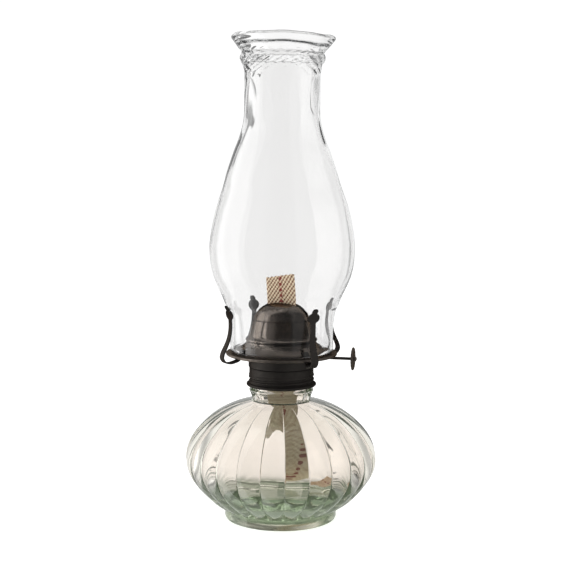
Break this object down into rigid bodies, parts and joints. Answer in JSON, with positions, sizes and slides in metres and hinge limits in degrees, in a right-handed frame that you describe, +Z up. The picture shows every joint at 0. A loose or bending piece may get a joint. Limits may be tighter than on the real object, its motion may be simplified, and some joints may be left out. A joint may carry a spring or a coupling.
{
  "type": "oil lamp",
  "caption": "Table oil lamp: lobed glass font, screw-on flat-wick burner with pronged gallery and thumb wheel, lift-off glass chimney.",
  "frame": {"origin": "centre of the font's foot, on the surface that the lamp stands on", "axes": "+Z up along the lamp's axis; the wick's width and the raising shaft lie 12 degrees clockwise of +X seen from above; -Y is the side that shows the wick's face"},
  "size_m": [0.1435, 0.1436, 0.36],
  "materials": {
    "font_glass": "pressed glass with a faint green tint, deeper in the thick base",
    "chimney_glass": "clear blown glass with a moulded crown",
    "bronzed_metal": "dark oil-rubbed bronze, semi-gloss",
    "inner_metal": "dull unfinished sheet",
    "rubber": "matte",
    "cotton": "woven cotton tape with a red stitched centre line"
  },
  "bodies": {
    "font": {"font": "font_glass"},
    "washer": {"sealing_washer": "rubber"},
    "burner": {"screw_cap": "bronzed_metal", "base_plate": "inner_metal", "air_basket": "bronzed_metal", "air_diffuser": "inner_metal", "wick_tube": "inner_metal", "gallery": "bronzed_metal", "deflector_dome": "bronzed_metal", "prong_1": "bronzed_metal", "prong_2": "bronzed_metal", "prong_3": "bronzed_metal", "prong_4": "bronzed_metal", "shaft_sleeve": "bronzed_metal"},
    "wick_wheel": {"wick_shaft": "bronzed_metal", "spur_wheel_1": "inner_metal", "spur_wheel_2": "inner_metal", "spur_wheel_3": "inner_metal", "thumb_wheel": "bronzed_metal", "thumb_wheel_rivet": "bronzed_metal"},
    "wick": {"wick": "cotton", "wick_tail": "cotton"},
    "chimney": {"chimney": "chimney_glass"}
  },
  "joints": [
    {"name": "burner_rise", "type": "slide", "parent": "font", "child": "washer", "axis": [0, 0, 1], "range_m": [0, 0.00801]},
    {"name": "burner_unscrew", "type": "hinge", "parent": "washer", "child": "burner", "pos_m": [0, 0, 0.105], "axis": [0, 0, 1], "range_deg": [0, 900]},
    {"name": "chimney_lift", "type": "slide", "parent": "burner", "child": "chimney", "axis": [0, 0, 1], "range_m": [0, 0.25]},
    {"name": "wick_wheel_turn", "type": "hinge", "parent": "burner", "child": "wick_wheel", "pos_m": [0.00131, 0.00616, 0.1214], "axis": [0.9781, -0.2079, 0], "range_deg": [-114, 286]},
    {"name": "wick_raise", "type": "slide", "parent": "burner", "child": "wick", "axis": [0, 0, 1], "range_m": [-0.025, 0.01], "deforming": ["wick_tail"]}
  ],
  "couplings": [
    {"joint": "burner_rise", "follows": "burner_unscrew", "m_per_rad": 0.0005093},
    {"joint": "wick_raise", "follows": "wick_wheel_turn", "m_per_rad": -0.005}
  ]
}
